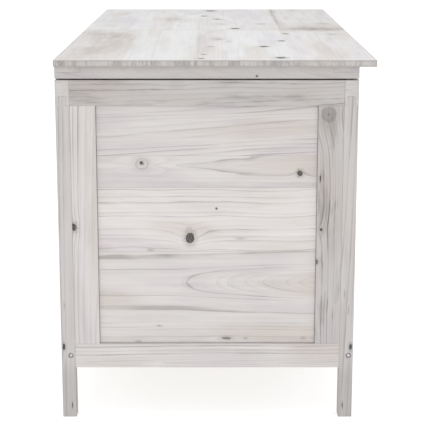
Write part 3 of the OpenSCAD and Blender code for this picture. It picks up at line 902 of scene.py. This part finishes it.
# From the front stave to the back one
near_lid_looks = [
    {"wash": PINKISH, "tone": 0.985, "contrast": 0.12, "patch": 0.4},
    {"wash": BRIGHT, "tone": 1.00, "contrast": 0.09, "patch": 0.1, "pith": (10, 22)},
    {"wash": BEIGE, "tone": 0.995, "contrast": 0.12, "patch": 0.4},
    {"wash": BRIGHT, "tone": 1.00, "contrast": 0.08, "patch": 0.1},
    {"wash": BEIGE, "tone": 0.985, "contrast": 0.15, "patch": 0.4, "pith": (-8, 12), "taper": 0.05},
]
far_lid_looks = [
    {"wash": BEIGE, "tone": 0.95, "contrast": 0.20, "patch": 0.8, "seam": 1.3},
    {"wash": PINKISH, "tone": 0.98, "contrast": 0.11, "patch": 0.4},
    {"wash": BRIGHT, "tone": 0.98, "contrast": 0.09, "patch": 0.6},
    {"wash": BEIGE, "tone": 0.98, "contrast": 0.14, "patch": 0.9},
    {"wash": BRIGHT, "tone": 0.97, "contrast": 0.10, "patch": 0.4},
]
leg_looks = {"tone": 0.83, "contrast": 0.42, "taper": 0.0, "wavy": 3.0}
near_pieces = {
    "leg_back_left": {
        **leg_looks, "pith": (-16, 12),
        "knots": [(120, 240.5, 2.2, 2.4, HARD), (20, 229, 0.8, 6.0, HARD), (190, 238, 1.0, 5.0, SOFT)]},
    "leg_front_left": {
        **leg_looks, "pith": (18, 14),
        "knots": [(120, -221.5, 2.2, 2.4, HARD), (20, -210, 0.8, 6.0, HARD), (182, -217, 1.0, 6.0, SOFT),
                  (209, -210, 1.0, 5.0, SOFT)]},
    "stile_left_back": {
        "tone": 0.975, "contrast": 0.50, "ring": 7.0, "pith": (-30, 12), "taper": 0.02,
        "knots": [(319, 220.2, 4.6, 1.3, HARD)]},
    "stile_left_front": {
        "tone": 0.80, "contrast": 0.70, "ring": 4.5, "pith": (26, 6), "taper": 0.0, "slope": 0.01,
        "wavy": 13.0, "patch": 1.5,
        "knots": [(499, -179.5, 11.5, 1.1, 0.45), (315, -171, 6.0, 1.2, FAINT),
                  (397.5, -168, 1.1, 4.5, HARD), (315, -170.5, 2.0, 1.2, HARD),
                  (262, -164.5, 2.0, 2.0, 0.2)],
        "smudges": [(474, -178, 16, 13, 1.2), (360, -172, 40, 8, 0.8), (300, -190, 34, 9, 1.0),
                    (240, -176, 60, 12, 0.4)]},
    "top_rail_left": {
        "tone": 0.80, "contrast": 0.42, "ring": 6.0, "pith": (-26, 20), "taper": 0.05, "slope": -0.02,
        "wavy": 15.0, "patch": 1.2,
        "knots": [(55.6, 545, 4.0, 2.0, FAINT), (79.6, 519, 1.6, 4.0, FAINT)]},
    "bottom_rail_left": {"tone": 0.975, "contrast": 0.50, "ring": 5.0, "taper": 0.02},
    "lid_rail_left": {"tone": 0.82, "contrast": 0.42, "ring": 5.0, "taper": 0.03,
                      "knots": [(-67.5, 559, 1.3, 1.2, HARD)]},
}


def knots_of(node, along, face, places):
    """Moves knots, smudged places and painted shadow, given in the bench's millimetres, to the board's own
    middle.
    """
    low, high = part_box(node)
    middle = (low + high) / 2 / MM
    across = 3 - along - face
    return [(a - middle[along], b - middle[across], *rest) for a, b, *rest in places]


def drawn_knots(node, along, face, count):
    """Knots of a board that the photograph doesn't show."""
    low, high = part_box(node)
    half = (high - low) / 2 / MM
    return plain_knots(node, half[along], half[3 - along - face], count)


# ---------------------------------------------------------------- the wooden pieces

# node: along, face, number of unseen knots
solid_wood = {
    "leg_front_left": (Z, X, 0), "leg_back_left": (Z, X, 0), "leg_front_right": (Z, X, 3),
    "leg_back_right": (Z, X, 2), "top_rail_front": (X, Y, 3), "top_rail_back": (X, Y, 4),
    "top_rail_left": (Y, X, 0), "top_rail_right": (Y, X, 2), "bottom_rail_front": (X, Y, 3),
    "bottom_rail_back": (X, Y, 3), "bottom_rail_left": (Y, X, 0), "bottom_rail_right": (Y, X, 2),
    "stile_left_front": (Z, X, 0), "stile_left_back": (Z, X, 0), "stile_right_front": (Z, X, 3),
    "stile_right_back": (Z, X, 2), "stile_front_left": (Z, Y, 2), "stile_front_middle": (Z, Y, 3),
    "stile_front_right": (Z, Y, 2), "stile_back_left": (Z, Y, 2), "stile_back_middle": (Z, Y, 2),
    "stile_back_right": (Z, Y, 3), "lid_rail_front": (X, Y, 4), "lid_rail_back": (X, Y, 3),
    "lid_rail_left": (Y, X, 0), "lid_rail_right": (Y, X, 2), "lid_batten": (Y, X, 2),
    "floor_cleat_left": (Y, X, 1), "floor_cleat_right": (Y, X, 1), "floor_bearer": (Y, Z, 1),
    "floor_board_1": (X, Z, 5), "floor_board_2": (X, Z, 4), "floor_board_3": (X, Z, 5),
    "floor_board_4": (X, Z, 4),
}

for node, (along, face, count) in solid_wood.items():
    rng = random.Random("looks " + node)
    looks = {"tone": rng.uniform(0.80, 0.95), "contrast": rng.uniform(0.36, 0.56)}
    looks.update(near_pieces.get(node, {}))
    # Only the legs get painted shade near the floor
    looks["foot"] = 1.0 if node.startswith("leg_") else 0.0
    if slots[node] == "inside_wood":
        looks["wash"] = INSIDE_WASH
    looks["smudges"] = knots_of(node, along, face, looks.get("smudges", []))
    given = knots_of(node, along, face, looks.get("knots", []))
    looks["knots"] = given + drawn_knots(node, along, face, count)
    make_solid(node, along, face, **looks)

# node: along, face. The seams between a panel's staves are heights in millimetres
panels = {
    "panel_left": (Y, X), "panel_right": (Y, X), "panel_front_left": (X, Y), "panel_front_right": (X, Y),
    "panel_back_left": (X, Y), "panel_back_right": (X, Y),
}
panel_seams = [278, 382, 433]
UNSEEN_PANEL_KNOTS = 6

for node, (along, face) in panels.items():
    if node == "panel_left":
        seams = panel_seams
        looks = end_panel_looks
        knots = knots_of(node, along, face, end_panel_knots)
    else:
        rng = random.Random("staves " + node)
        seams = [z + rng.uniform(-24, 24) for z in panel_seams]
        looks = [{"tone": rng.uniform(0.88, 1.0), "contrast": rng.uniform(0.38, 0.54)} for _ in range(4)]
        knots = drawn_knots(node, along, face, UNSEEN_PANEL_KNOTS)
    make_glued(node, along, face, [z * MM for z in seams], looks, knots)

# node: seams from the middle of the lid towards the back, in millimetres, how they show, and the looks
lid_boards = {
    "lid_board_left": ((-122, -20, 32, 142), 0.15, near_lid_looks, near_lid_knots, near_lid_smudges_and_shadow),
    "lid_board_right": ((-125, 30, 85, 130), 0.2, far_lid_looks, far_lid_knots, far_lid_smudges_and_shadow),
}
LID_END_STRIPES = 0.66
# The lid's edges get more than wear: painted shade along them
LID_EDGE_WEAR_AND_SHADE = 2.8

for node, (places, seam, looks, knots, smudges) in lid_boards.items():
    make_glued(node, X, Z, [(LID_MIDDLE + y) * MM for y in places], looks, knots_of(node, X, Z, knots),
               smudges=knots_of(node, X, Z, smudges), seam=seam, stripes=LID_END_STRIPES, worn=LID_EDGE_WEAR_AND_SHADE)


# ---------------------------------------------------------------- hardware

def turned(bm, centre, profile, segments=40):
    """A solid of revolution about Z: profile is (radius, height) from its bottom to its top."""
    rings = []
    for radius, height in profile:
        turns = [2 * math.pi * i / segments for i in range(segments)]
        ring = [Vector((radius * math.cos(t), radius * math.sin(t), height)) + centre for t in turns]
        rings.append([bm.verts.new(co) for co in ring])
    for lower, upper in zip(rings, rings[1:]):
        for i in range(segments):
            j = (i + 1) % segments
            bm.faces.new((lower[i], lower[j], upper[j], upper[i]))
    bm.faces.new(rings[0][::-1])
    bm.faces.new(rings[-1])


def make_bumpers(node, material, count=3, rim=0.6 * MM, crown=0.15 * MM, rim_steps=4):
    """Round pads with a rounded rim and a low crown, in the places of the CAD pads."""
    low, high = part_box(node)
    radius = (high.y - low.y) / 2
    height = high.z - low.z
    profile = [(radius * 0.97, 0.0), (radius, height * 0.1)]
    for i in range(rim_steps + 1):
        turn = math.pi / 2 * i / rim_steps
        profile.append((radius - rim + rim * math.cos(turn), height - crown - rim + rim * math.sin(turn)))
    profile += [(radius * 0.6, height - crown * 0.3), (radius * 0.2, height)]
    bm = bmesh.new()
    for i in range(count):
        x = low.x + radius + (high.x - low.x - 2 * radius) * i / (count - 1)
        turned(bm, Vector((x, (low.y + high.y) / 2, low.z)), profile)
    finish_piece(node, ".pads", bm, [material])


def make_leaf(node, material, width=0.15 * MM):
    """A hinge leaf with its long edges eased."""
    bm = clean_copy(node)
    ease(bm, width)
    finish_piece(node, ".leaf", bm, [material])


zinc = make_metal("zinc_plate", (196, 197, 200), 0.28, 0.48, X)
bright_zinc = make_metal("bright_zinc", (222, 222, 224), 0.18, 0.34, Y)
rubber = make_rubber()
for node in frame["nodes"]:
    if "_leaf_" in node:
        make_leaf(node, zinc)
    elif slots[node] == "hinge_steel":
        dress(node, zinc)
    elif slots[node] == "bolt_steel":
        dress(node, bright_zinc)
    elif slots[node] == "bumper_rubber":
        make_bumpers(node, rubber)

dowel_low, dowel_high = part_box("frame_dowels")
dowel_wood = Board("frame_dowels", dowel_low, dowel_high, X, Z, tone=0.9, wash=DOWEL_WASH)
dress("frame_dowels", dowel_wood.material())


# ---------------------------------------------------------------- studio

FLOOR_REACH = 30.0
BACKDROP_LIGHT = 0.80
BACKDROP_SEEN = 0.22


def make_floor():
    mesh = bpy.data.meshes.new("studio_floor")
    bm = bmesh.new()
    bmesh.ops.create_grid(bm, x_segments=8, y_segments=8, size=FLOOR_REACH)
    bm.to_mesh(mesh)
    bm.free()
    mesh.materials.append(make_floor_material())
    floor = bpy.data.objects.new("studio_floor", mesh)
    bpy.context.scene.collection.objects.link(floor)


def make_world():
    """A backdrop that is seen white, like the floor, and lights the bench a little less than that."""
    world = bpy.data.worlds.new("studio")
    world.use_nodes = True
    background = world.node_tree.nodes["Background"]
    background.inputs["Color"].default_value = (1.0, 1.0, 1.0, 1.0)
    sky = Graph(world.node_tree)
    seen = Wire(sky, sky.add("ShaderNodeLightPath", {}).outputs["Is Camera Ray"])
    sky.put(background.inputs["Strength"], seen * BACKDROP_SEEN + BACKDROP_LIGHT)
    bpy.context.scene.world = world


def add_light(name, place, target, size, watts):
    data = bpy.data.lights.new(name, "AREA")
    data.shape = "SQUARE"
    data.size = size
    data.energy = watts
    light = bpy.data.objects.new(name, data)
    light.location = place
    light.rotation_euler = (Vector(target) - Vector(place)).to_track_quat("-Z", "Y").to_euler()
    bpy.context.scene.collection.objects.link(light)


make_floor()
make_world()
bench_middle = (0.0, 0.0, 0.35)
# name: place, size, watts
lights = {
    "overhead": ((-0.3, 0.2, 3.0), 3.0, 45),
    "front_side": ((0.6, -3.6, 2.0), 2.6, 42),
    "back_side": ((0.6, 3.6, 2.0), 2.6, 34),
    "behind_camera": ((-4.4, 0.4, 1.5), 2.4, 44),
}
for name, (place, size, watts) in lights.items():
    add_light(name, place, bench_middle, size, watts)

# The camera faces the bench's left end, turned down a little, as in the photograph
SENSOR_MM = 36.0
LENS_TO_SENSOR = 2.911
TURNED_DOWN = 11.87
camera_data = bpy.data.cameras.new("photo_camera")
camera_data.sensor_width = SENSOR_MM
camera_data.lens = SENSOR_MM * LENS_TO_SENSOR
camera_data.shift_y = -0.10
camera = bpy.data.objects.new("photo_camera", camera_data)
camera.location = (-2.398, -0.003, 0.811)
camera.rotation_euler = (math.radians(90 - TURNED_DOWN), 0.0, math.radians(-90))
bpy.context.scene.collection.objects.link(camera)
bpy.context.scene.camera = camera
bpy.context.scene.view_settings.view_transform = "Standard"
